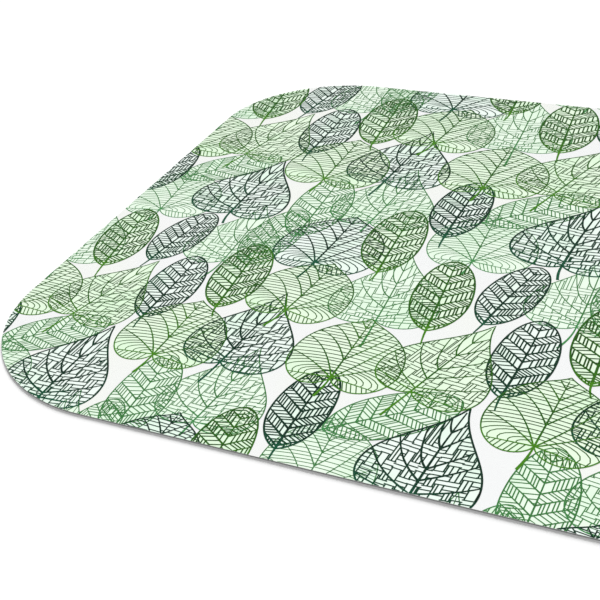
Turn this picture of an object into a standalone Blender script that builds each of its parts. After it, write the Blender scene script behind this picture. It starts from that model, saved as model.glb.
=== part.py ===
"""Chair mat: a flat vinyl floor mat made of four full-size layers, cut together to one outline.

Run with blender --background --python part.py, or from Blender's Text Editor.
Metres, +Z up. The mat lies on the floor at z = 0, centred on the Z axis, with its long side
along X. Its layers have no fasteners: each is bonded to the next over its whole area, and all
of them end flush at the cut edge, which has four rounded corners.
"""

import math

import bmesh
import bpy
from mathutils import Vector

COLLECTION_NAME = "chair_mat"

# Outline of the mat, seen from above.
WIDTH = 1.400  # along X
DEPTH = 1.000  # along Y
CORNER_RADIUS = 0.205
CORNER_STEPS = 36  # straight runs in each rounded corner

# Thickness of each layer, from the floor up.
BACKING_THICKNESS = 0.00040  # soft non-slip vinyl that grips the floor
CORE_THICKNESS = 0.00125  # stiff vinyl sheet that spreads the load of the castors
FILM_THICKNESS = 0.00015  # white vinyl film that carries the printed leaves
LAMINATE_THICKNESS = 0.00020  # clear embossed film that takes the wear

WELD_DISTANCE = 0.00001  # joins the caps of a filled curve to its sides

# Name, thickness, colour, roughness and metallic value of each layer, from the floor up.
LAYERS = (
    ("grip_backing", BACKING_THICKNESS, (0.52, 0.53, 0.53), 0.85, 0.0),
    ("core_sheet", CORE_THICKNESS, (0.80, 0.80, 0.79), 0.50, 0.0),
    ("printed_film", FILM_THICKNESS, (0.55, 0.68, 0.62), 0.45, 0.0),
    ("wear_laminate", LAMINATE_THICKNESS, (0.78, 0.85, 0.82), 0.35, 0.0),
)


def clear_scene():
    """Remove every object, so that the script gives the same result when it is run again."""
    for old in list(bpy.data.objects):
        bpy.data.objects.remove(old, do_unlink=True)


def outline_points(width, depth, radius, steps):
    """Corner points of a rectangle with rounded corners, anticlockwise from the right side."""
    quarter = math.pi / 2
    points = []
    for corner, (side_x, side_y) in enumerate(((1, 1), (-1, 1), (-1, -1), (1, -1))):
        centre = Vector((side_x * (width / 2 - radius), side_y * (depth / 2 - radius)))
        for step in range(steps + 1):
            angle = quarter * (corner + step / steps)
            points.append(centre + radius * Vector((math.cos(angle), math.sin(angle))))
    return points


def sheet_curve(name, points, thickness):
    """A closed flat outline, filled on both sides and extruded by half its thickness each way."""
    curve = bpy.data.curves.new(name, "CURVE")
    curve.dimensions = "2D"
    curve.fill_mode = "BOTH"
    curve.extrude = thickness / 2
    spline = curve.splines.new("POLY")
    spline.points.add(len(points) - 1)
    for slot, place in zip(spline.points, points):
        slot.co = (place.x, place.y, 0.0, 1.0)
    spline.use_cyclic_u = True
    return bpy.data.objects.new(name, curve)


def flat_sheet(name, bottom, top, collection):
    """One layer as a closed solid between two heights, in the mat's outline.

    Its faces lie at exactly the heights given, and the next layer starts from the same value,
    so neighbouring layers meet face to face with neither a gap nor an overlap.
    """
    points = outline_points(WIDTH, DEPTH, CORNER_RADIUS, CORNER_STEPS)
    outline = sheet_curve(name + "_outline", points, top - bottom)
    collection.objects.link(outline)
    graph = bpy.context.evaluated_depsgraph_get()
    mesh = bpy.data.meshes.new_from_object(outline.evaluated_get(graph))
    bpy.data.objects.remove(outline, do_unlink=True)
    solid = bmesh.new()
    solid.from_mesh(mesh)
    bmesh.ops.remove_doubles(solid, verts=solid.verts, dist=WELD_DISTANCE)
    for vertex in solid.verts:
        vertex.co.z = top if vertex.co.z > 0 else bottom
    bmesh.ops.recalc_face_normals(solid, faces=solid.faces)
    solid.to_mesh(mesh)
    solid.free()
    mesh.name = name
    layer = bpy.data.objects.new(name, mesh)
    collection.objects.link(layer)
    return layer


def plain_material(name, colour, roughness, metallic):
    """A Principled material with one colour."""
    material = bpy.data.materials.new(name)
    material.use_nodes = True
    shader = material.node_tree.nodes["Principled BSDF"]
    shader.inputs["Base Color"].default_value = (*colour, 1.0)
    shader.inputs["Roughness"].default_value = roughness
    shader.inputs["Metallic"].default_value = metallic
    material.diffuse_color = (*colour, 1.0)
    return material


def build_mat():
    """Stack the layers from the floor up in a collection named for the object."""
    collection = bpy.data.collections.new(COLLECTION_NAME)
    bpy.context.scene.collection.children.link(collection)
    bottom = 0.0
    for name, thickness, colour, roughness, metallic in LAYERS:
        top = bottom + thickness
        layer = flat_sheet(name, bottom, top, collection)
        layer.data.materials.append(plain_material(name, colour, roughness, metallic))
        bottom = top


clear_scene()
build_mat()
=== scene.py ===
"""The looks of a chair mat: the printed leaves, the clear film over them and the mat's vinyl layers.

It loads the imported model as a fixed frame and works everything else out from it, in metres.
"""

import math

import bpy
import numpy as np
from mathutils import Matrix, Vector


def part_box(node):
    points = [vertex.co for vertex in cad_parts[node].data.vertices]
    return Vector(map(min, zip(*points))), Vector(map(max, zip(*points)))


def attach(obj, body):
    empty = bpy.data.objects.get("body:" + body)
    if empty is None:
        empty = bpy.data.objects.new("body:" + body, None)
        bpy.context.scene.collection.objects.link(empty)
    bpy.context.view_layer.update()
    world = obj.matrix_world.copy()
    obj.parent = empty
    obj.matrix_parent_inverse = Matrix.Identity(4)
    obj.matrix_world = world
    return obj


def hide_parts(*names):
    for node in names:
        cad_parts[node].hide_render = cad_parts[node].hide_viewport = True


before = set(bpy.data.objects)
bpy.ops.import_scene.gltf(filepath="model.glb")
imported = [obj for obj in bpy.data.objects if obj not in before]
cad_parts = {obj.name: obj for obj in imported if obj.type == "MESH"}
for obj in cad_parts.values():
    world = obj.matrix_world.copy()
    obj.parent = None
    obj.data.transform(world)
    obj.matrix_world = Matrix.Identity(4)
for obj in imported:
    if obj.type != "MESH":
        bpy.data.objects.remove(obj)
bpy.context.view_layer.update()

bl_info = {
    "name": "Chair Mat",
    "version": (1, 0, 0),
    "blender": (4, 5, 0),
    "location": "3D View > Sidebar > Chair Mat",
    "description": "Prints leaves on a chair mat and finishes its vinyl layers",
    "category": "Object",
}

BODY = "root"

MM = 0.001
MAT_LOW, MAT_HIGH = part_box("printed_film")
FILM_TOP = MAT_HIGH.z
MAT_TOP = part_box("wear_laminate")[1].z
INKS = ("sea", "dark", "olive")  # in the order in which they are printed
HALF_WIDTH = (MAT_HIGH.x - MAT_LOW.x) / 2
HALF_DEPTH = (MAT_HIGH.y - MAT_LOW.y) / 2


def corner_radius():
    """The radius of the mat's round corners: half the width less the reach of the straight front
    edge, whose ends are the furthest points that lie on the front line."""
    places = np.array([v.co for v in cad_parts["printed_film"].data.vertices])
    front = places[np.abs(places[:, 1] - MAT_LOW.y) < 0.01 * MM]
    return HALF_WIDTH - float(np.abs(front[:, 0]).max())


CORNER_RADIUS = corner_radius()
CORNER_STEPS = 36  # straight pieces of a round corner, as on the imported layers
EDGE_GAP = 0.05 * MM  # from the print to the mat's cut edge


def shade(red, green, blue):
    """A colour given as sRGB numbers from 0 to 255, as the linear numbers that Blender holds."""
    parts = np.array([red, green, blue]) / 255
    low = parts / 12.92
    high = ((parts + 0.055) / 1.055) ** 2.4
    return tuple(float(x) for x in np.where(parts <= 0.04045, low, high))


# ---------------------------------------------------------------- settings


def colour_property(name, description, default):
    """A colour that a user can set."""
    return bpy.props.FloatVectorProperty(
        name=name, description=description, default=default, size=3, min=0, max=1, subtype="COLOR"
    )


def length_property(name, description, default):
    """A length that a user can set, in metres."""
    return bpy.props.FloatProperty(
        name=name, description=description, default=default, min=0, precision=5, unit="LENGTH"
    )


class PrintSettings(bpy.types.PropertyGroup):
    """The drawing of the leaves: line widths, ink colours and the heights at which they lie."""

    outline_width: length_property("Outline", "Width of the line round a leaf", 1.62 * MM)
    vein_width: length_property("Vein", "Width of a side vein where it leaves the midrib", 1.95 * MM)
    hatch_width: length_property("Hatching", "Width of the short strokes between veins", 1.28 * MM)
    midrib_width: length_property("Midrib", "Width of the midrib at the leaf's base", 2.3 * MM)
    stem_width: length_property("Stem", "Width of a stem at its cut end", 3.6 * MM)
    ink_height: length_property("Ink height", "Thickness of a printed line", 0.01 * MM)
    leaf_step: length_property("Leaf step", "Height from one leaf to the next", 0.003 * MM)
    dark_vein: colour_property("Dark veins", "Ink of the dark leaves' veins", shade(2, 44, 27))
    dark_hatch: colour_property("Dark hatching", "Ink of the dark leaves' strokes", shade(4, 54, 33))
    dark_ends: colour_property("Dark ends", "Ink at the dark leaves' ends", shade(6, 92, 60))
    olive_vein: colour_property("Olive veins", "Ink of the olive leaves' veins", shade(38, 96, 6))
    olive_hatch: colour_property("Olive hatching", "Ink of the olive strokes", shade(30, 74, 8))
    olive_ends: colour_property("Olive ends", "Ink at the olive leaves' ends", shade(76, 142, 12))
    sea_vein: colour_property("Sea veins", "Ink of the sea-green leaves' veins", shade(56, 120, 58))
    sea_hatch: colour_property("Sea hatching", "Ink of the sea-green strokes", shade(60, 125, 62))
    sea_ends: colour_property("Sea ends", "Ink at the sea-green leaves' ends", shade(66, 146, 80))
    dark_tint: colour_property("Dark tint", "Wash inside the dark leaves", shade(243, 253, 247))
    olive_tint: colour_property("Olive tint", "Wash inside the olive leaves", shade(236, 253, 229))
    sea_tint: colour_property("Sea tint", "Wash inside the sea-green leaves", shade(239, 253, 237))


class SheetSettings(bpy.types.PropertyGroup):
    """The vinyl sheets that the mat is made of."""

    ground: colour_property("Ground", "Unprinted film between the leaves", shade(245, 246, 246))
    ground_warm: colour_property("Warm ground", "Its warmer patches", shade(245, 247, 242))
    # Painted shade: the core's pale grey is darkened to stand for the shade on the mat's cut edge.
    core: colour_property("Core", "Vinyl core, seen at the cut edge", shade(176, 178, 176))
    backing: colour_property("Backing", "Non-slip underside", shade(168, 170, 171))
    gloss: bpy.props.FloatProperty(
        name="Roughness", description="Roughness of the embossed top", default=0.42, min=0, max=1
    )
    grain: length_property("Grain", "Size of the embossed grain", 1.2 * MM)
    film_gap: length_property("Film gap", "Adhesive between print and clear film", 0.01 * MM)


class StageSettings(bpy.types.PropertyGroup):
    """The camera, and how strong the world and the lamp are."""

    azimuth: bpy.props.FloatProperty(
        name="Azimuth", description="Turn of the camera", default=math.radians(25.11), subtype="ANGLE"
    )
    elevation: bpy.props.FloatProperty(
        name="Elevation", description="Camera over the floor", default=math.radians(32.6), subtype="ANGLE"
    )
    roll: bpy.props.FloatProperty(
        name="Roll", description="Tilt of the camera", default=math.radians(-3.98), subtype="ANGLE"
    )
    place: bpy.props.FloatVectorProperty(
        name="Place", description="Camera position", default=(0.1297, -1.2329, 0.7245), unit="LENGTH"
    )
    lens: bpy.props.FloatProperty(name="Lens", description="Focal length, mm", default=63.41, min=1)
    sky: bpy.props.FloatProperty(name="Sky", description="Strength of the world", default=0.36, min=0)
    key: bpy.props.FloatProperty(name="Key", description="Strength of the lamp", default=7.6, min=0)


# ---------------------------------------------------------------- leaf shapes
# A leaf is drawn upright with its base at (0, 0) and its tip at (0, 1), and then laid on the mat.

# Right half of each outline, as chained cubic Bezier arcs from base to tip.
HEART_SIDE = (
    (0.00, 0.00), (0.05, -0.08), (0.22, -0.09), (0.31, -0.02),
    (0.43, 0.07), (0.44, 0.24), (0.36, 0.40), (0.27, 0.58), (0.07, 0.74), (0.00, 1.00),
)
ROUND_SIDE = (
    (0.00, 0.00), (0.03, -0.10), (0.16, -0.17), (0.28, -0.14),
    (0.46, -0.09), (0.55, 0.10), (0.54, 0.28),
    (0.53, 0.50), (0.46, 0.64), (0.32, 0.77), (0.20, 0.88), (0.07, 0.92), (0.00, 1.00),
)
OVAL_SIDE = (
    (0.00, 0.00), (0.11, 0.04), (0.225, 0.21), (0.225, 0.46), (0.225, 0.76), (0.13, 0.98), (0.00, 1.00),
)

# Side veins: where each leaves the midrib, then its slope there and its curl towards the tip, on
# the right and on the left.
HEART_VEINS = (
    (0.00, 0.08, 0.6, 0.08, 0.6), (0.05, 0.50, 1.0, 0.40, 2.0), (0.18, 0.85, 1.6, 0.70, 6.0),
    (0.31, 1.15, 3.0, 0.85, 60.0), (0.52, 1.50, 12.0, 1.15, 250.0), (0.71, 1.70, 30.0, 1.40, 300.0),
)
ROUND_VEINS = (
    (0.00, -0.12, 0.0, -0.12, 0.0), (0.00, 0.74, 0.1, 0.81, -0.5), (0.00, 1.50, 1.0, 1.94, -1.7),
    (0.29, 1.50, 0.7, 1.69, -1.9), (0.48, 1.45, 0.2, 1.55, -1.7), (0.655, 1.40, -0.2, 1.45, -1.3),
    (0.83, 1.30, 0.0, 1.30, 0.0),
)
OVAL_VEINS = tuple((0.03 + 0.104 * row, 0.78, -0.25, 0.78, -0.25) for row in range(9))

# Each kind's outline, veins, the power of the distance that they curl with, its hatching and the
# share of the hatching's width that it takes.
KINDS = {
    "heart": (HEART_SIDE, HEART_VEINS, 3, "basket", 0.88),
    "round": (ROUND_SIDE, ROUND_VEINS, 2, "ladder", 0.95),
    "oval": (OVAL_SIDE, OVAL_VEINS, 2, "chevron", 1.0),
}
# What the line widths are multiplied by for each ink and kind.
WEIGHTS = {
    ("dark", "oval"): 1.50, ("dark", "heart"): 1.40, ("dark", "round"): 1.34,
    ("olive", "oval"): 1.52, ("olive", "heart"): 1.05, ("olive", "round"): 1.07,
    ("sea", "oval"): 1.05, ("sea", "heart"): 0.92, ("sea", "round"): 0.90,
}
STEM_SHARES = {"heart": 0.85, "round": 1.0, "oval": 0.5}  # share of the stem width that each kind takes

# The leaves of one repeat of the print: ink, kind, base, tip and stem's end, in metres on the mat.
LEAVES = (
    ("sea", "oval", (-0.462, -0.145), (-0.441, 0.015), (-0.466, -0.166)),
    ("sea", "round", (-0.169, -0.053), (-0.169, 0.083), (-0.176, -0.095)),
    ("sea", "heart", (-0.012, -0.163), (-0.006, 0.005), (-0.025, -0.214)),
    ("sea", "heart", (-0.243, -0.223), (-0.251, -0.054), (-0.242, -0.283)),
    ("sea", "oval", (-0.228, -0.437), (-0.100, -0.344), (-0.236, -0.446)),
    ("sea", "heart", (-0.366, -0.470), (-0.353, -0.319), (-0.369, -0.495)),
    ("sea", "oval", (0.002, -0.547), (0.012, -0.387), (0.001, -0.565)),
    ("dark", "round", (-0.368, -0.118), (-0.357, 0.019), (-0.375, -0.160)),
    ("dark", "oval", (-0.118, -0.192), (-0.079, -0.043), (-0.124, -0.213)),
    ("dark", "oval", (-0.064, -0.324), (-0.050, -0.164), (-0.064, -0.349)),
    ("dark", "heart", (-0.387, -0.361), (-0.371, -0.200), (-0.394, -0.405)),
    ("dark", "oval", (-0.263, -0.482), (-0.257, -0.337), (-0.262, -0.507)),
    ("dark", "heart", (-0.555, -0.488), (-0.547, -0.335), (-0.551, -0.519)),
    ("olive", "oval", (-0.279, -0.116), (-0.283, 0.060), (-0.282, -0.140)),
    ("olive", "oval", (-0.179, -0.226), (-0.187, -0.060), (-0.176, -0.256)),
    ("olive", "oval", (-0.446, -0.257), (-0.456, -0.096), (-0.440, -0.279)),
    ("olive", "round", (-0.358, -0.236), (-0.340, -0.113), (-0.371, -0.277)),
    ("olive", "round", (-0.253, -0.349), (-0.247, -0.223), (-0.259, -0.387)),
    ("olive", "round", (-0.012, -0.392), (0.002, -0.265), (-0.021, -0.432)),
    ("olive", "heart", (-0.159, -0.344), (-0.102, -0.191), (-0.178, -0.395)),
)

# The repeat of the print. Step u runs along the mat and step v across it, and the drawing grows
# a little towards the back and the right.
STEP_U = (0.504, -0.010)
STEP_V = (0.066, 0.532)
GROWTH = (0.026, 0.094)
REPEATS_U = range(-3, 4)
REPEATS_V = range(-2, 3)

FIRST_SEED = 100  # each leaf of the repeat is drawn with this seed plus its number
SIDE_STEPS = 24  # points along each arc of an outline
TRACE_STEPS = 90  # points on a stroke while it is trimmed
VEIN_TRACE = 8 * TRACE_STEPS  # points at which a side vein is worked out
VEIN_STEPS = 11  # points on a finished side vein
MIDRIB_STRIDE = 7  # the midrib keeps every seventh traced point, and ends just short of the tip
RUNG_STEPS = 6  # points on a finished rung
STEM_STEPS = 8  # points on a stem
EDGE_STEPS = 12  # a stroke that the mat's edge cuts gets so many points for each of its own
STACKED_STROKES = 13  # so many strokes of a leaf lie at heights of their own
STACK_SHARE = 0.9  # share of a leaf's step over which those heights are spread
STEM_START = 0.8  # share of the midrib's width that a stem starts with
OUTSIDE_SHARE = 0.7  # a leaf is left out if its middle is more than this share of it off the mat

# The map "leaf": its first number runs along the leaf and its second tells hatching from veins.
MAP_LOW = 0.1  # both numbers, at the leaf's base and on hatching
MAP_ALONG = 0.75  # what the first grows by from the base to the tip
MAP_TONE = 0.7  # what the second grows by from hatching to veins
MAP_ACROSS = 0.08  # and from one side of a line to the other

# Leaf shapes, as shares of the leaf's length.
LEAF_MIDDLE = (0.0, 0.38)  # a point inside every outline, from which all of it is seen
UNEVEN_SIDES = 0.06  # most that a leaf is bent, or one half of it widened
VEIN_SHIFT = 0.005  # spread of the places where side veins leave the midrib
VEIN_REACH = 0.7  # side veins are worked out as far as this from the midrib, past every outline
VEIN_TOP = 1.2  # and no higher than this, past the tip
SHORTEST = 0.012  # shorter strokes are left out
UPRIGHT_ENDS = (-0.1, 1.1)  # heights between which strokes along the midrib lie before they are cut
CHEVRON_STEPS = (0.029, 0.036)  # between an oval leaf's strokes: along the midrib, away from it
CHEVRON_UNEVENNESS = 0.35  # a step can be longer or shorter by this share of it
CHEVRON_REACH = 0.24  # from the midrib to the furthest stroke along it
CHEVRON_TOP = 1.3  # the falling strokes start no higher than this
CHEVRON_FALL = (0.26, -0.10)  # how far a falling stroke runs out, and how its height changes
SIDES_DIFFER = (0.003, 0.03)  # on the right their step is this much smaller and their fall this
# much steeper, and on the left the other way round
RUNG_FLATNESS = 0.40  # height of a round leaf's rungs over their width
RUNG_SPACINGS = (0.030, 0.046, 0.050)  # steps of the rungs, from the lowest band up
RUNG_UNEVENNESS = 0.25
RUNG_REACH = (0.02, 1.2)  # heights between which the rungs' ellipses cross the midrib
RUNG_TURN = 2.2  # how far a rung goes round its ellipse from the midrib, in radians
LOBE_REACH = 0.5  # the slanted strokes in a round leaf's lobes start so far out
LOBE_STEP = 0.045  # from one to the next
LOBE_UNEVENNESS = 0.2
LOBE_ENDS = ((0, 0.02), (0.10, -0.24))  # a slanted stroke's ends, from its place at the base's height
UPRIGHT_REACH = (0.01, 0.4)  # the strokes near a heart leaf's tip stand so far from its midrib
UPRIGHT_STEP = 0.032  # from one to the next
UPRIGHT_UNEVENNESS = 0.3
WOVEN_ROWS = 4  # bands above a heart leaf's lowest vein that are woven
FIRST_COLUMN = (0.036, 0.058)  # least and greatest width of a weave's column at the midrib
NEXT_COLUMNS = (0.056, 0.080)  # and of the others
COLUMN_COUNT = 8  # columns after the first, enough to reach the outline
CELL_INSET = 0.006  # the strokes at a woven cell's sides stand this far inside it
MIDDLE_STROKES = 0.4  # share of the columns that have a stroke up their middle
CROSS_STEP = 0.042  # from one stroke across a column to the next
CROSS_STROKES = 4  # strokes across a column, from its knot on
CROSS_SPREAD = 0.003  # spread of their heights
CROSS_SLOPE = (0.10, 0.12)  # their slope, and what the right side has more and the left side less
MIDDLE_SPREAD = 0.004  # spread of the strokes up the middle of a column
COLUMN_STROKE = 0.5  # length of a stroke along a column before it is cut, enough to reach the vein
KNOT_HEIGHT = 0.11  # a knot lies no higher than this over the lower vein
LOWEST_BAND = 0.16  # how far the band under the lowest vein hangs below it


def bezier_chain(points, steps):
    """Chained cubic Bezier arcs: each is its four control points weighted with the Bernstein
    polynomials (1-t)^3, 3t(1-t)^2, 3t^2(1-t) and t^3, for t from 0 to 1."""
    points = np.array(points, float)
    t = np.linspace(0, 1, steps + 1)[:-1, None]
    weights = ((1 - t) ** 3, 3 * t * (1 - t) ** 2, 3 * t**2 * (1 - t), t**3)
    arcs = []
    for first in range(0, len(points) - 1, 3):
        arcs.append(sum(w * points[first + k] for k, w in enumerate(weights)))
    return np.vstack(arcs + [points[-1:]])


def outline_loop(side, lop):
    """A closed leaf outline from base to tip and back. The right half is widened by lop and the
    left half, its mirror image, narrowed by as much."""
    right = bezier_chain(side, SIDE_STEPS)
    left = right[::-1] * (-1, 1)
    return np.vstack([right * (1 + lop, 1), left[1:] * (1 - lop, 1)])


def inside_outline(loop):
    """A function that is positive inside the loop: the loop's radius about the leaf's middle in a
    point's direction, less the point's own radius."""
    middle = np.array(LEAF_MIDDLE)
    spokes = loop[:-1] - middle
    angle = np.arctan2(spokes[:, 1], spokes[:, 0])
    order = np.argsort(angle)
    angle, radius = angle[order], np.hypot(*spokes[order].T)

    def level(places):
        away = places - middle
        reach = np.interp(np.arctan2(away[..., 1], away[..., 0]), angle, radius, period=2 * np.pi)
        return reach - np.hypot(away[..., 0], away[..., 1])

    return level


def trim(strokes, level, steps, shortest):
    """The runs of each stroke on which level is positive, cut where it crosses zero between two
    points, and drawn again with equal steps. A run is left out if the changes of its numbers, step
    by step, add up to no more than shortest."""
    value = level(strokes)
    keep = value > 0
    edge = np.zeros((len(keep), 1), bool)
    starts = keep & ~np.hstack([edge, keep[:, :-1]])
    ends = keep & ~np.hstack([keep[:, 1:], edge])
    row, first = np.nonzero(starts)
    last = np.nonzero(ends)[1]
    before, after = np.maximum(first - 1, 0), np.minimum(last + 1, value.shape[1] - 1)
    drop_in = value[row, first] - value[row, before]
    drop_out = value[row, last] - value[row, after]
    low = first - np.where(first > 0, value[row, first] / np.where(drop_in == 0, 1, drop_in), 0)
    high = last + np.where(after > last, value[row, last] / np.where(drop_out == 0, 1, drop_out), 0)
    at = low[:, None] + (high - low)[:, None] * np.linspace(0, 1, steps)
    base = np.minimum(at.astype(int), value.shape[1] - 2)
    part = (at - base)[..., None]
    runs = strokes[row[:, None], base] * (1 - part) + strokes[row[:, None], base + 1] * part
    long_enough = np.abs(np.diff(runs, axis=1)).sum((1, 2)) > shortest
    return runs[long_enough]


def finer(strokes, times):
    """Strokes with more points on the straight lines between their points."""
    steps = strokes.shape[1]
    at = np.linspace(0, steps - 1, (steps - 1) * times + 1)
    base = np.minimum(at.astype(int), steps - 2)
    part = (at - base)[:, None]
    return strokes[:, base] * (1 - part) + strokes[:, base + 1] * part


def uneven(rng, low, high, spacing, unevenness):
    """Numbers from low to high whose steps vary round the spacing, as a hand would set them."""
    count = max(2, int(2 * (high - low) / spacing))
    steps = spacing * (1 + unevenness * rng.uniform(-1, 1, count))
    found = low + spacing * rng.uniform(0, 1) + np.cumsum(steps)
    return found[found < high]


def lines(start, end):
    """Straight strokes between paired points, as rows of equal steps."""
    start, end = np.atleast_2d(start), np.atleast_2d(end)
    t = np.linspace(0, 1, TRACE_STEPS)[None, :, None]
    return start[:, None] * (1 - t) + end[:, None] * t


def vein_height(vein, out):
    """Height of a side vein at a distance out from the midrib: its start, plus slope times the
    distance, plus curl times a power of the distance."""
    start, slope, curl, power = vein
    return start + slope * out + curl * out**power


def between(veins, row):
    """A function that is positive above vein row and below the next, with none at the ends."""

    def level(places):
        out = np.abs(places[..., 0])
        above = places[..., 1] - vein_height(veins[row], out) if row >= 0 else 1.0
        below = vein_height(veins[row + 1], out) - places[..., 1] if row + 1 < len(veins) else 1.0
        return np.minimum(above, below)

    return level


def both(*levels):
    """A function that is positive where all of several functions are."""

    def level(places):
        return np.min([np.broadcast_to(each(places), places.shape[:-1]) for each in levels], 0)

    return level


def evened(strokes, count):
    """Strokes drawn again with points at equal distances along them."""
    lengths = np.cumsum(np.hypot(*np.moveaxis(np.diff(strokes, axis=1), -1, 0)), axis=1)
    lengths = np.hstack([np.zeros((len(strokes), 1)), lengths])
    found = []
    for stroke, length in zip(strokes, lengths):
        at = np.linspace(0, length[-1], count)
        found.append(np.stack([np.interp(at, length, column) for column in stroke.T], 1))
    return np.array(found)


def chevron_strokes(rng, row, side):
    """Hatching of one band of an oval leaf: strokes along the midrib in odd bands, and strokes
    that fall away from it in even ones. All reach past the leaf's outline."""
    low, high = UPRIGHT_ENDS
    along, away = CHEVRON_STEPS
    if row % 2:
        out = uneven(rng, 0.0, CHEVRON_REACH, along, CHEVRON_UNEVENNESS)
        out = np.stack([out, 0 * out], 1)
        return lines(out + (0, low), out + (0, high)) * (side, 1)
    closer, steeper = SIDES_DIFFER
    reach, rise = CHEVRON_FALL
    height = uneven(rng, low, CHEVRON_TOP, away - closer * side, CHEVRON_UNEVENNESS)
    height = np.stack([0 * height, height], 1)
    return lines(height, height + (reach, rise - steeper * side)) * (side, 1)


def ladder_strokes(rng, row, side):
    """Rungs of a round leaf: arcs of flat ellipses about the leaf's base. The lower bands take
    closer ellipses, as these lie wider apart at the sides, and the lowest has slanted strokes."""
    if row < 0:
        out = uneven(rng, 0.0, LOBE_REACH, LOBE_STEP, LOBE_UNEVENNESS)
        out = np.stack([out, 0 * out], 1)
        return lines(out + LOBE_ENDS[0], out + LOBE_ENDS[1]) * (side, 1)
    spacing = RUNG_SPACINGS[min(row, len(RUNG_SPACINGS) - 1)]
    reach = uneven(rng, *RUNG_REACH, spacing, RUNG_UNEVENNESS)[:, None]
    turn = np.linspace(0, RUNG_TURN, TRACE_STEPS)[None]
    return np.stack([side * reach / RUNG_FLATNESS * np.sin(turn), reach * np.cos(turn)], 2)


def basket_strokes(rng, veins, row, side, level):
    """Basket weave of one band of a heart leaf, in columns with a knot near mid height of each.
    Strokes along the midrib run from the knot to one vein and strokes across the column lie
    between the knot and the other vein, and the next column has them the other way round. The
    bands near the tip have strokes along the midrib only."""
    if row >= WOVEN_ROWS:
        upright = uneven(rng, *UPRIGHT_REACH, UPRIGHT_STEP, UPRIGHT_UNEVENNESS)
        upright = np.stack([upright, 0 * upright], 1)
        strokes = lines(upright, upright + (0, UPRIGHT_ENDS[1])) * (side, 1)
        return trim(strokes, level, 2, 3 * SHORTEST)
    columns = rng.uniform(*FIRST_COLUMN, 1), rng.uniform(*NEXT_COLUMNS, COLUMN_COUNT)
    sides = np.cumsum(np.concatenate([[0.0], *columns]))
    slope = CROSS_SLOPE[0] + CROSS_SLOPE[1] * side
    starts, ends = [], []
    for count, (near, far) in enumerate(zip(sides, sides[1:])):
        centre = (near + far) / 2
        low = vein_height(veins[max(row, 0)], centre) - (LOWEST_BAND if row < 0 else 0)
        knot = min((low + vein_height(veins[row + 1], centre)) / 2, low + KNOT_HEIGHT)
        away = -1 if count % 2 else 1
        inside = [near + CELL_INSET, far - CELL_INSET]
        if rng.random() < MIDDLE_STROKES:
            inside.append(centre + rng.normal(0, MIDDLE_SPREAD))
        for out in inside[1 if near == 0 else 0 :]:
            height = knot + slope * (out - centre)
            starts.append((out, height))
            ends.append((out, height - away * COLUMN_STROKE))
        near, far = max(near - CELL_INSET, 0), far + CELL_INSET
        for step in range(CROSS_STROKES):
            shift = rng.normal(0, CROSS_SPREAD) if step else 0
            height = knot + away * (CROSS_STEP * step + shift)
            starts.append((near, height + slope * (near - centre)))
            ends.append((far, height + slope * (far - centre)))
    strokes = lines(starts, ends) * (side, 1)
    return trim(strokes, level, 2, 1.5 * SHORTEST)


def bowed(places, bow):
    """A leaf bent sideways: x grows by bow times (y squared less y), which keeps base and tip."""
    x, y = places[..., 0], places[..., 1]
    return np.stack([x + bow * (y**2 - y), y], -1)


def draw_leaf(kind, seed):
    """All the strokes of one leaf as sets of (points, start width, end width, tone), in which a
    width is a setting's name and a share of it, and tone is 1 on veins and 0 on hatching. Also
    gives the leaf's outline."""
    rng = np.random.default_rng(seed)
    side_points, veins, power, hatching, share = KINDS[kind]
    lop = rng.uniform(-UNEVEN_SIDES, UNEVEN_SIDES)
    loop = outline_loop(side_points, lop)
    inside = inside_outline(loop)
    sets = [(loop[None], ("outline_width", 1.0), ("outline_width", 1.0), 1.0)]
    middle = lines((0, 0), (0, 1))[:, ::MIDRIB_STRIDE]
    sets.append((middle, ("midrib_width", 1.0), ("midrib_width", 0.5), 1.0))
    out = np.linspace(0, VEIN_REACH, VEIN_TRACE)
    for side in (-1, 1):
        sided = [
            (start + rng.normal(0, VEIN_SHIFT), *(bends[:2] if side > 0 else bends[2:]), power)
            for start, *bends in veins
        ]
        heights = [np.minimum(vein_height(vein, out), VEIN_TOP) for vein in sided]
        ribs = evened(np.stack([np.stack([side * out, height], 1) for height in heights]), TRACE_STEPS)
        ribs = trim(ribs, inside, VEIN_STEPS, SHORTEST)
        sets.append((ribs, ("vein_width", 1.0), ("vein_width", 0.6), 1.0))
        for row in range(-1, len(sided)):
            level = both(inside, between(sided, row))
            if hatching == "basket":
                strokes = basket_strokes(rng, sided, row, side, level)
            elif hatching == "chevron":
                strokes = trim(chevron_strokes(rng, row, side), level, 2, SHORTEST)
            else:
                strokes = trim(ladder_strokes(rng, row, side), level, RUNG_STEPS, SHORTEST)
            sets.append((strokes, ("hatch_width", share), ("hatch_width", share), 0.0))
    bow = rng.uniform(-UNEVEN_SIDES, UNEVEN_SIDES)
    drawn = [(bowed(points, bow), near, far, tone) for points, near, far, tone in sets if len(points)]
    return drawn, bowed(loop, bow)


# ---------------------------------------------------------------- layout of the print


def repeat_place(steps):
    """Where a point of the repeat grid lies on the mat: its two steps along STEP_U and STEP_V,
    divided by 1 less its steps times GROWTH, so that the drawing grows along both."""
    steps = np.asarray(steps, float)
    return steps @ np.array([STEP_U, STEP_V]) / (1 - steps @ np.array(GROWTH))[..., None]


def repeat_steps(place):
    """The steps of the repeat grid at a point of the mat, which undoes repeat_place: the two
    equations are linear in the steps once they are multiplied by the divisor."""
    place = np.asarray(place, float)
    grid = np.array([STEP_U, STEP_V]).T + np.outer(place, GROWTH)
    return np.linalg.solve(grid, place)


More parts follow.
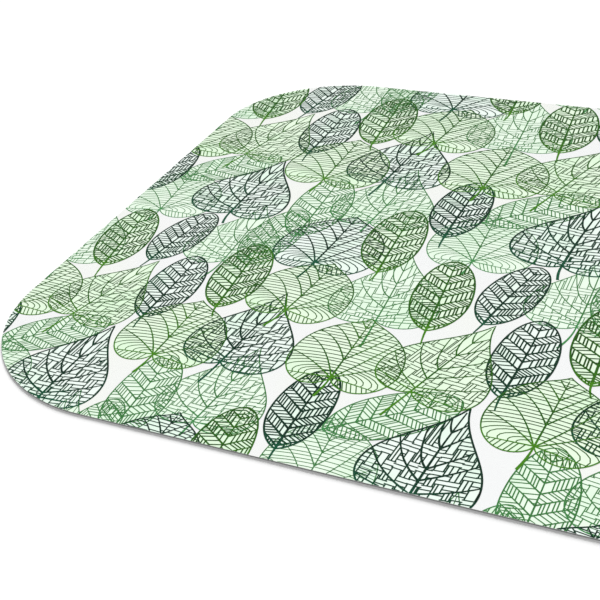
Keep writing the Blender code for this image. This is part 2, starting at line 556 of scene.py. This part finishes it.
def edge_distance(places):
    """How far a point lies inside the mat's edge: that of a rectangle with round corners, which
    is the corner radius less the distance to the rectangle shrunk by that radius. Only a point's
    first two numbers count."""
    reach = np.abs(places[..., :2]) - (HALF_WIDTH - CORNER_RADIUS, HALF_DEPTH - CORNER_RADIUS)
    outside = np.hypot(*np.moveaxis(np.maximum(reach, 0), -1, 0))
    return CORNER_RADIUS - outside - np.minimum(reach.max(-1), 0)


def kept_on_mat(places):
    """Points outside the mat's edge brought to the nearest point of it: they are pulled towards
    the rectangle shrunk by the corner radius until they are one radius from it."""
    inner = np.array([HALF_WIDTH - CORNER_RADIUS, HALF_DEPTH - CORNER_RADIUS])
    nearest = np.clip(places, -inner, inner)
    away = places - nearest
    distance = np.linalg.norm(away, axis=-1, keepdims=True)
    return nearest + away * np.minimum(1, (CORNER_RADIUS - EDGE_GAP) / np.maximum(distance, MM))


def mat_corners():
    """The mat's outline as points: four quarter circles joined by straight sides."""
    turn = np.linspace(0, np.pi / 2, CORNER_STEPS + 1)
    arc = CORNER_RADIUS * np.stack([np.cos(turn), np.sin(turn)], 1)
    corner = np.array([HALF_WIDTH - CORNER_RADIUS, HALF_DEPTH - CORNER_RADIUS])
    flips = ((1, 1), (-1, 1), (-1, -1), (1, -1))
    return np.vstack([(corner + arc[:: x * y]) * (x, y) for x, y in flips])


def laid_leaves():
    """Every leaf that shows on the mat: its number in the repeat, ink, kind, and the base, tip
    and stem's end of this copy. Copies of a leaf are drawn alike."""
    found = []
    for number, (ink, kind, *marks) in enumerate(LEAVES):
        steps = np.array([repeat_steps(mark) for mark in marks])
        for u in REPEATS_U:
            for v in REPEATS_V:
                base, tip, stem = repeat_place(steps + (u, v))
                size = np.hypot(*(tip - base))
                if edge_distance((base + tip) / 2) > -OUTSIDE_SHARE * size:
                    found.append((number, ink, kind, base, tip, stem))
    return found


def laid(points, base, tip):
    """Leaf coordinates on the mat: x times the leaf's length across it and y times it along."""
    along = tip - base
    across = np.array([along[1], -along[0]])
    return base + points[..., :1] * across + points[..., 1:] * along


def stem_stroke(base, tip, stem):
    """A stem as a quadratic Bezier arc: it leaves the base in the midrib's line and turns to its
    end. The middle control point lies on the midrib's line, half the stem's length below the base."""
    knee = base - (tip - base) / np.hypot(*(tip - base)) * np.hypot(*(stem - base)) * 0.5
    t = np.linspace(0, 1, STEM_STEPS)[:, None]
    return ((1 - t) ** 2 * base + 2 * t * (1 - t) * knee + t**2 * stem)[None]


# ---------------------------------------------------------------- meshes


def finished(name, vertices, faces, uv=None):
    """A mesh object at the origin that rides on the mat. Its map "leaf" is given by vertex."""
    mesh = bpy.data.meshes.new(name)
    mesh.from_pydata(vertices, [], faces)
    if uv is not None:
        corners = np.empty(len(mesh.loops), np.int32)
        mesh.loops.foreach_get("vertex_index", corners)
        layer = mesh.uv_layers.new(name="leaf")
        layer.uv.foreach_set("vector", np.asarray(uv, np.float32)[corners].ravel())
    mesh.validate()
    piece = bpy.data.objects.new(name, mesh)
    bpy.context.scene.collection.objects.link(piece)
    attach(piece, BODY)
    return piece


def ribbon_grid(strokes, widths, bottom, thickness):
    """Strokes as closed flat bars, each on its own bottom height. At each point of a path the
    section is a rectangle of the given thickness, half a width to each side along the path's
    tangent turned by a quarter turn. Gives the vertices, and the faces as four corners each."""
    count, steps = strokes.shape[:2]
    tangent = np.gradient(strokes, axis=1)
    normal = np.stack([-tangent[..., 1], tangent[..., 0]], -1)
    normal /= np.maximum(np.linalg.norm(normal, axis=-1, keepdims=True), 1e-12)
    half = normal * widths[..., None] / 2
    left, right = kept_on_mat(strokes + half), kept_on_mat(strokes - half)
    section = np.stack([left, right, right, left], 2)
    height = bottom[:, None, None] + np.array([0, 0, thickness, thickness])
    height = np.broadcast_to(height, (count, steps, 4))[..., None]
    vertices = np.concatenate([section, height], -1).reshape(-1, 3)
    index = np.arange(count * steps * 4).reshape(count, steps, 4)
    turned = np.roll(index, -1, axis=2)
    sides = np.stack([index[:, :-1], turned[:, :-1], turned[:, 1:], index[:, 1:]], -1).reshape(-1, 4)
    caps = np.concatenate([index[:, 0, ::-1], index[:, -1]])
    return vertices, np.concatenate([sides, caps])


def slab(loop, low, high, first=0):
    """A closed flat plate: the loop at two heights, joined by its rim. Its vertices are counted
    from first."""
    count = len(loop)
    vertices = np.vstack([np.column_stack([loop, np.full(count, z)]) for z in (low, high)])
    index = first + np.arange(count)
    following = np.roll(index, -1)
    rim = np.column_stack([index, following, following + count, index + count])
    return vertices, [index[::-1].tolist(), (index + count).tolist(), *rim.tolist()]


def clipped(loop, fence):
    """The part of a closed loop inside a convex anticlockwise fence. For each side of the fence,
    points on its left stay, and each step across it adds the crossing point."""
    for start, end in zip(fence, np.roll(fence, -1, 0)):
        side = end - start
        length = np.hypot(*side)
        if length < 1e-9 or len(loop) < 3:
            continue
        away = (loop - start) @ (np.array([-side[1], side[0]]) / length)
        if away.min() >= 0:
            continue
        following, next_away = np.roll(loop, -1, 0), np.roll(away, -1)
        crosses = away * next_away < 0
        part = np.where(crosses, away / np.where(crosses, away - next_away, 1), 0)[:, None]
        crossing = loop * (1 - part) + following * part
        pairs = np.stack([loop, crossing], 1).reshape(-1, 2)
        loop = pairs[np.stack([away >= 0, crosses], 1).ravel()]
    return loop


def leaf_height(number):
    """Height of a leaf's wash over the film: one step for each leaf of the repeat."""
    look = bpy.context.scene.mat_print
    return FILM_TOP + bpy.context.scene.mat_sheets.film_gap + (number + 1) * look.leaf_step


def ink_strokes(ink, kind):
    """All printed lines of the leaves of one ink and kind, with the map that colours them: along
    it the place on the leaf, and up it the tone, with a little of the line's width. The lines lie
    over all washes, and the strokes of a leaf take turns at heights within its step."""
    look = bpy.context.scene.mat_print
    weight = WEIGHTS[ink, kind]
    lift = leaf_height(len(LEAVES) + 1) - leaf_height(0)
    parts, drawn = [], {}
    for number, leaf_ink, leaf_kind, base, tip, stem in laid_leaves():
        if (leaf_ink, leaf_kind) != (ink, kind):
            continue
        if number not in drawn:
            drawn[number] = draw_leaf(kind, FIRST_SEED + number)[0]
        sets = [
            (laid(points, base, tip), points[..., 1], near, far, tone)
            for points, near, far, tone in drawn[number]
        ]
        stalk = stem_stroke(base, tip, stem)
        sizes = ("midrib_width", STEM_START), ("stem_width", STEM_SHARES[kind] / weight)
        sets.append((stalk, np.zeros(stalk.shape[:2]), *sizes, 1.0))
        low = leaf_height(number) + lift
        marks = LEAVES[number][2:4]
        growth = math.dist(base, tip) / math.dist(*marks)
        laid_down = 0
        for points, along, near, far, tone in sets:
            t = np.linspace(0, 1, points.shape[1])
            ends = [getattr(look, name) * share * weight * growth for name, share in (near, far)]
            widths = np.broadcast_to(ends[0] * (1 - t) + ends[1] * t, points.shape[:2])
            packed = np.concatenate([points, along[..., None], widths[..., None]], -1)
            if edge_distance(points).min() < 0:
                packed = trim(finer(packed, EDGE_STEPS), edge_distance, points.shape[1], MM)
            if not len(packed):
                continue
            order = laid_down + np.arange(len(packed))
            laid_down += len(packed)
            bottom = low + order % STACKED_STROKES / STACKED_STROKES * STACK_SHARE * look.leaf_step
            vertices, faces = ribbon_grid(packed[..., :2], packed[..., 3], bottom, look.ink_height)
            place = np.repeat(packed[..., 2].ravel(), 4)
            across = np.tile([0.0, MAP_ACROSS, MAP_ACROSS, 0.0], len(place) // 4)
            uv = np.stack([MAP_LOW + MAP_ALONG * place, MAP_LOW + MAP_TONE * tone + across], 1)
            parts.append((vertices, faces, uv))
    return joined(parts)


def joined(parts):
    """Several meshes' vertices, faces and maps as one."""
    starts = np.cumsum([0] + [len(vertices) for vertices, _, _ in parts[:-1]])
    faces = np.concatenate([faces + start for (_, faces, _), start in zip(parts, starts)])
    return np.concatenate([p[0] for p in parts]), faces, np.concatenate([p[2] for p in parts])


# ---------------------------------------------------------------- materials


class Value:
    """An output of a tree's nodes. Arithmetic on it adds Math nodes."""

    def __init__(self, nodes, socket):
        self.nodes = nodes
        self.socket = socket

    def maths(self, operation, *others):
        """The result of a Math node on this value and others."""
        inputs = dict(enumerate((self, *others)))
        return self.nodes.node("ShaderNodeMath", {"operation": operation}, inputs)

    def __add__(self, other):
        return self.maths("ADD", other)

    __radd__ = __add__

    def __mul__(self, other):
        return self.maths("MULTIPLY", other)

    __rmul__ = __mul__

    def __sub__(self, other):
        return self.maths("SUBTRACT", other)

    def __rsub__(self, other):
        return (self * -1).maths("ADD", other)

    def step(self, low, high):
        """0 below low, 1 above high and a smooth rise between."""
        settings = {"interpolation_type": "SMOOTHSTEP", "data_type": "FLOAT"}
        inputs = {"Value": self, "From Min": low, "From Max": high}
        return self.nodes.node("ShaderNodeMapRange", settings, inputs)


class Nodes:
    """The nodes of a material or a world, and the one method that adds to them."""

    def __init__(self, tree):
        self.tree = tree

    def node(self, kind, settings, inputs, output=0):
        """A new node with its settings, then its sockets' values or links. Gives one output."""
        made = self.tree.nodes.new(kind)
        for name, value in settings.items():
            setattr(made, name, value)
        for name, value in inputs.items():
            self.feed(made.inputs[name], value)
        return Value(self, made.outputs[output])

    def feed(self, socket, value):
        """A link to a socket, or a constant set on it."""
        if isinstance(value, Value):
            self.tree.links.new(value.socket, socket)
        elif hasattr(value, "__len__") and len(value) == 3 and socket.type == "RGBA":
            socket.default_value = (*value, 1.0)
        else:
            socket.default_value = value

    def seen(self):
        """1 for what is seen straight, in a reflection or through glass, and 0 for other light."""
        kinds = ("Is Camera Ray", "Is Glossy Ray", "Is Transmission Ray")
        camera, glossy, through = (self.node("ShaderNodeLightPath", {}, {}, kind) for kind in kinds)
        return camera.maths("MAXIMUM", glossy).maths("MAXIMUM", through)

    def blend(self, share, first, second):
        """first where share is 0 and second where it is 1, as colours. They are sockets 6 and 7
        of a Mix node, and its output 2."""
        inputs = {"Factor": share, 6: first, 7: second}
        return self.node("ShaderNodeMix", {"data_type": "RGBA"}, inputs, 2)


class Paint(Nodes):
    """A new Principled material, with the shader's constants."""

    def __init__(self, name, **constants):
        self.material = bpy.data.materials.new(name)
        self.material.use_nodes = True
        super().__init__(self.material.node_tree)
        self.shader = self.tree.nodes["Principled BSDF"]
        self.drive(**constants)

    def drive(self, **inputs):
        """Links to the shader's sockets, or constants set on them."""
        for name, value in inputs.items():
            self.feed(self.shader.inputs[name.replace("_", " ")], value)

    def place(self):
        """The place on the object, in metres."""
        return self.node("ShaderNodeTexCoord", {}, {}, "Object")

    def noise(self, scale, detail):
        """Soft noise from 0 to 1 with scale waves to the metre and finer ones by detail."""
        inputs = {"Vector": self.place(), "Scale": scale, "Detail": detail}
        return self.node("ShaderNodeTexNoise", {"noise_dimensions": "3D"}, inputs, "Fac")

    def bump(self, height, distance, strength):
        """Relief by a height from 0 to 1 times the distance."""
        inputs = {"Height": height, "Distance": distance, "Strength": strength}
        self.drive(Normal=self.node("ShaderNodeBump", {}, inputs))


def emboss(paint):
    """The fine grain of the top film, as a bump, and soft patches of its roughness."""
    sheets = bpy.context.scene.mat_sheets
    paint.bump(paint.noise(0.6 / sheets.grain, 0.0), 0.02 * MM, 0.15)
    paint.drive(Roughness=paint.noise(14.0, 1.0) * 0.12 + (sheets.gloss - 0.06))


def ink_material(ink):
    """Printing ink of one colour family: the map "leaf" tells veins from hatching, and along the
    leaf the ink turns lighter and greener near its base, near its tip and in some patches."""
    look = bpy.context.scene.mat_print
    paint = Paint("ink_" + ink, IOR=1.35, Specular_IOR_Level=0.15)
    where = paint.node("ShaderNodeUVMap", {"uv_map": "leaf"}, {})
    parts = {axis: paint.node("ShaderNodeSeparateXYZ", {}, {0: where}, axis) for axis in ("X", "Y")}
    vein = parts["Y"].step(0.3, 0.6)
    line = paint.blend(vein, getattr(look, ink + "_hatch"), getattr(look, ink + "_vein"))
    base = 1 - parts["X"].step(0.08, 0.28)
    tip = parts["X"].step(0.80, 0.96) * 0.6
    patch = paint.noise(11.0, 1.0).step(0.52, 0.75) * 0.5
    ends = (base * 0.75).maths("MAXIMUM", tip).maths("MAXIMUM", patch)
    ends = ends * (vein * 0.6 + 0.4)
    paint.drive(Base_Color=paint.blend(ends, line, getattr(look, ink + "_ends")))
    emboss(paint)
    return paint.material


def tint_material(ink):
    """The pale wash inside a leaf, a little deeper in some places than in others."""
    look = bpy.context.scene.mat_print
    paint = Paint("wash_" + ink, IOR=1.35, Specular_IOR_Level=0.3)
    wash = getattr(look, ink + "_tint")
    deeper = tuple(c * share for c, share in zip(wash, (0.90, 0.985, 0.905)))
    paint.drive(Base_Color=paint.blend(paint.noise(13.0, 2.0).step(0.38, 0.7), wash, deeper))
    emboss(paint)
    return paint.material


def film_material():
    """White vinyl film, with large soft patches that are a little warmer."""
    sheets = bpy.context.scene.mat_sheets
    paint = Paint("white_film", IOR=1.35, Specular_IOR_Level=0.3)
    warm = paint.noise(5.0, 1.0).step(0.4, 0.65)
    paint.drive(Base_Color=paint.blend(warm, sheets.ground, sheets.ground_warm))
    emboss(paint)
    return paint.material


def clear_material():
    """Clear film: nearly all of it lets the print through, and it adds a faint satin veil."""
    paint = Paint("clear_film", Alpha=0.015, IOR=1.35)
    haze = paint.noise(40.0, 2.0)
    paint.drive(Base_Color=paint.blend(haze, shade(205, 212, 208), shade(222, 228, 225)))
    emboss(paint)
    return paint.material


def core_material_painted_shade():
    """Cut vinyl with painted shade: its colour is darkened to a pale grey that stands for the shade on
    the cut edge, with fine darker specks and a fine rough grain.
    """
    sheets = bpy.context.scene.mat_sheets
    paint = Paint("vinyl_core", IOR=1.45)
    specks = paint.noise(900.0, 2.0).step(0.45, 0.75)
    darker = tuple(0.8 * c for c in sheets.core)
    # The core colour carries painted shade for the cut edge; the specks are the vinyl's own.
    paint.drive(Base_Color=paint.blend(specks, sheets.core, darker), Roughness=0.5 + 0.2 * specks)
    paint.bump(paint.noise(1400.0, 1.0), 0.02 * MM, 0.5)
    return paint.material


def backing_material():
    """Soft non-slip vinyl: rows of small round studs, with painted shade that darkens the hollows between
    them.
    """
    sheets = bpy.context.scene.mat_sheets
    paint = Paint("grip_vinyl", IOR=1.45)
    studs = paint.node(
        "ShaderNodeTexVoronoi", {"feature": "F1"},
        {"Vector": paint.place(), "Scale": 1 / (4 * MM), "Randomness": 0.0}, "Distance",
    )
    hollow = studs.step(0.28, 0.42)
    cloudy = paint.noise(30.0, 3.0)
    # Painted shade: the hollows between the studs take this darker colour, mixed with soft cloudy
    # patches.
    darker = tuple(0.72 * c for c in sheets.backing)
    paint.drive(
        Base_Color=paint.blend(hollow * 0.7 + cloudy * 0.3, sheets.backing, darker),
        Roughness=0.7 + 0.15 * hollow,
    )
    paint.bump(1 - hollow, 0.2 * MM, 0.6)
    return paint.material


def dress(node, material):
    """Give a carried-over layer its finish."""
    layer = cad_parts[node]
    layer.data.materials.clear()
    layer.data.materials.append(material)


# ---------------------------------------------------------------- operators


class CHAIRMAT_OT_backing(bpy.types.Operator):
    """Finish the non-slip underside"""

    bl_idname = "chairmat.backing"
    bl_label = "Grip Backing"

    def execute(self, context):
        dress("grip_backing", backing_material())
        return {"FINISHED"}


class CHAIRMAT_OT_core(bpy.types.Operator):
    """Finish the vinyl core that shows at the cut edge"""

    bl_idname = "chairmat.core"
    bl_label = "Core Sheet"

    def execute(self, context):
        dress("core_sheet", core_material_painted_shade())
        return {"FINISHED"}


class CHAIRMAT_OT_film(bpy.types.Operator):
    """Finish the white film that carries the print"""

    bl_idname = "chairmat.film"
    bl_label = "Printed Film"

    def execute(self, context):
        dress("printed_film", film_material())
        return {"FINISHED"}


class CHAIRMAT_OT_washes(bpy.types.Operator):
    """Print the pale wash inside each leaf, one piece for each ink"""

    bl_idname = "chairmat.washes"
    bl_label = "Leaf Washes"

    def execute(self, context):
        look = context.scene.mat_print
        fence = mat_corners() * (1 - EDGE_GAP / HALF_DEPTH)
        for ink in INKS:
            vertices, faces = np.empty((0, 3)), []
            for number, leaf_ink, kind, base, tip, _ in laid_leaves():
                if leaf_ink != ink:
                    continue
                outline = draw_leaf(kind, FIRST_SEED + number)[1]
                loop = clipped(laid(outline[:-1], base, tip)[::-1], fence)
                if len(loop) < 3:
                    continue
                high = leaf_height(number)
                corners, plate = slab(loop, high - look.leaf_step / 2, high, len(vertices))
                vertices = np.vstack([vertices, corners])
                faces += plate
            piece = finished("leaf_wash_" + ink, vertices, faces)
            piece.data.materials.append(tint_material(ink))
        return {"FINISHED"}


class CHAIRMAT_OT_lines(bpy.types.Operator):
    """Print the leaves' lines, one piece for each ink and kind of leaf"""

    bl_idname = "chairmat.lines"
    bl_label = "Leaf Lines"

    def execute(self, context):
        materials = {ink: ink_material(ink) for ink in INKS}
        for ink, kind in sorted({leaf[:2] for leaf in LEAVES}):
            vertices, faces, uv = ink_strokes(ink, kind)
            name = f"leaf_lines_{ink}_{kind}"
            piece = finished(name, vertices.tolist(), faces.tolist(), uv)
            piece.data.materials.append(materials[ink])
        return {"FINISHED"}


class CHAIRMAT_OT_clear_film(bpy.types.Operator):
    """Lay the clear film over the print"""

    bl_idname = "chairmat.clear_film"
    bl_label = "Clear Film"

    def execute(self, context):
        low = FILM_TOP + context.scene.mat_sheets.film_gap
        vertices, faces = slab(mat_corners(), low, MAT_TOP)
        film = finished("clear_top_film", vertices, faces)
        film.data.materials.append(clear_material())
        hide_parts("wear_laminate")
        return {"FINISHED"}


class CHAIRMAT_OT_stage(bpy.types.Operator):
    """Set up the floor, the world, the lamp and the camera"""

    bl_idname = "chairmat.stage"
    bl_label = "Stage"

    def execute(self, context):
        stage = context.scene.mat_stage
        make_floor()
        make_light(stage)
        make_camera(stage)
        context.scene.view_settings.view_transform = "Standard"
        return {"FINISHED"}


def make_floor():
    """A plain white floor under the mat. Seen directly it is lifted to white, and keeps shadows."""
    reach = 12.0
    vertices = [(reach * x, reach * y, 0) for x, y in ((-1, -1), (1, -1), (1, 1), (-1, 1))]
    mesh = bpy.data.meshes.new("floor")
    mesh.from_pydata(vertices, [], [(0, 1, 2, 3)])
    floor = bpy.data.objects.new("floor", mesh)
    bpy.context.scene.collection.objects.link(floor)
    paint = Paint("floor", Base_Color=(0.93, 0.93, 0.93), Roughness=0.9, Specular_IOR_Level=0.0)
    paint.drive(Emission_Color=paint.blend(paint.seen(), (0, 0, 0), (1, 1, 1)), Emission_Strength=0.08)
    mesh.materials.append(paint.material)


def make_light(stage):
    """An even white world, seen as white, and one soft far lamp behind the mat. The lamp stands
    low, so that the mat's front edge shades a narrow strip of floor."""
    world = bpy.data.worlds.new("studio")
    world.use_nodes = True
    bpy.context.scene.world = world
    nodes = Nodes(world.node_tree)
    background = nodes.tree.nodes["Background"].inputs
    nodes.feed(background["Color"], (1, 1, 1))
    camera = nodes.node("ShaderNodeLightPath", {}, {}, "Is Camera Ray")
    nodes.feed(background["Strength"], camera * (1 - stage.sky) + stage.sky)
    lamp = bpy.data.lights.new("key_lamp", "SUN")
    lamp.angle = math.radians(26)  # wide, for a soft shadow
    lamp.energy = stage.key
    key = bpy.data.objects.new("key_lamp", lamp)
    key.location = (-1.7, 3.6, 1.2)
    key.rotation_euler = (-key.location).to_track_quat("-Z", "Y").to_euler()
    key.visible_glossy = False
    bpy.context.scene.collection.objects.link(key)


def make_camera(stage):
    """The camera: its line of sight from azimuth and elevation, then turned about it by roll."""
    turn, rise = stage.azimuth, stage.elevation
    sight = Vector((-math.sin(turn) * math.cos(rise), math.cos(turn) * math.cos(rise), -math.sin(rise)))
    level = sight.cross(Vector((0, 0, 1))).normalized()
    upright = level.cross(sight)
    right = math.cos(stage.roll) * level + math.sin(stage.roll) * upright
    up = right.cross(sight)
    data = bpy.data.cameras.new("camera")
    data.sensor_width = 36.0
    data.lens = stage.lens
    camera = bpy.data.objects.new("camera", data)
    axes = Matrix((right, up, -sight)).transposed().to_4x4()
    camera.matrix_world = Matrix.Translation(stage.place) @ axes
    bpy.context.scene.collection.objects.link(camera)
    bpy.context.scene.camera = camera


class CHAIRMAT_PT_panel(bpy.types.Panel):
    """Steps that build the mat's looks, in order"""

    bl_label = "Chair Mat"
    bl_idname = "CHAIRMAT_PT_panel"
    bl_space_type = "VIEW_3D"
    bl_region_type = "UI"
    bl_category = "Chair Mat"

    def draw(self, context):
        column = self.layout.column(align=True)
        for step in STEPS:
            column.operator(step.bl_idname)
        for group in ("mat_print", "mat_sheets", "mat_stage"):
            settings = getattr(context.scene, group)
            box = self.layout.box()
            for name in settings.__annotations__:
                box.prop(settings, name)


STEPS = (
    CHAIRMAT_OT_backing, CHAIRMAT_OT_core, CHAIRMAT_OT_film, CHAIRMAT_OT_washes,
    CHAIRMAT_OT_lines, CHAIRMAT_OT_clear_film, CHAIRMAT_OT_stage,
)
GROUPS = (("mat_print", PrintSettings), ("mat_sheets", SheetSettings), ("mat_stage", StageSettings))


def register():
    """Register the settings, the steps and the panel."""
    for name, group in GROUPS:
        bpy.utils.register_class(group)
        setattr(bpy.types.Scene, name, bpy.props.PointerProperty(type=group))
    for cls in (*STEPS, CHAIRMAT_PT_panel):
        bpy.utils.register_class(cls)


def unregister():
    """Undo register."""
    for cls in (CHAIRMAT_PT_panel, *reversed(STEPS)):
        bpy.utils.unregister_class(cls)
    for name, group in reversed(GROUPS):
        delattr(bpy.types.Scene, name)
        bpy.utils.unregister_class(group)


def main():
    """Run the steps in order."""
    register()
    bpy.ops.chairmat.backing()
    bpy.ops.chairmat.core()
    bpy.ops.chairmat.film()
    bpy.ops.chairmat.washes()
    bpy.ops.chairmat.lines()
    bpy.ops.chairmat.clear_film()
    bpy.ops.chairmat.stage()


if __name__ == "__main__":
    main()
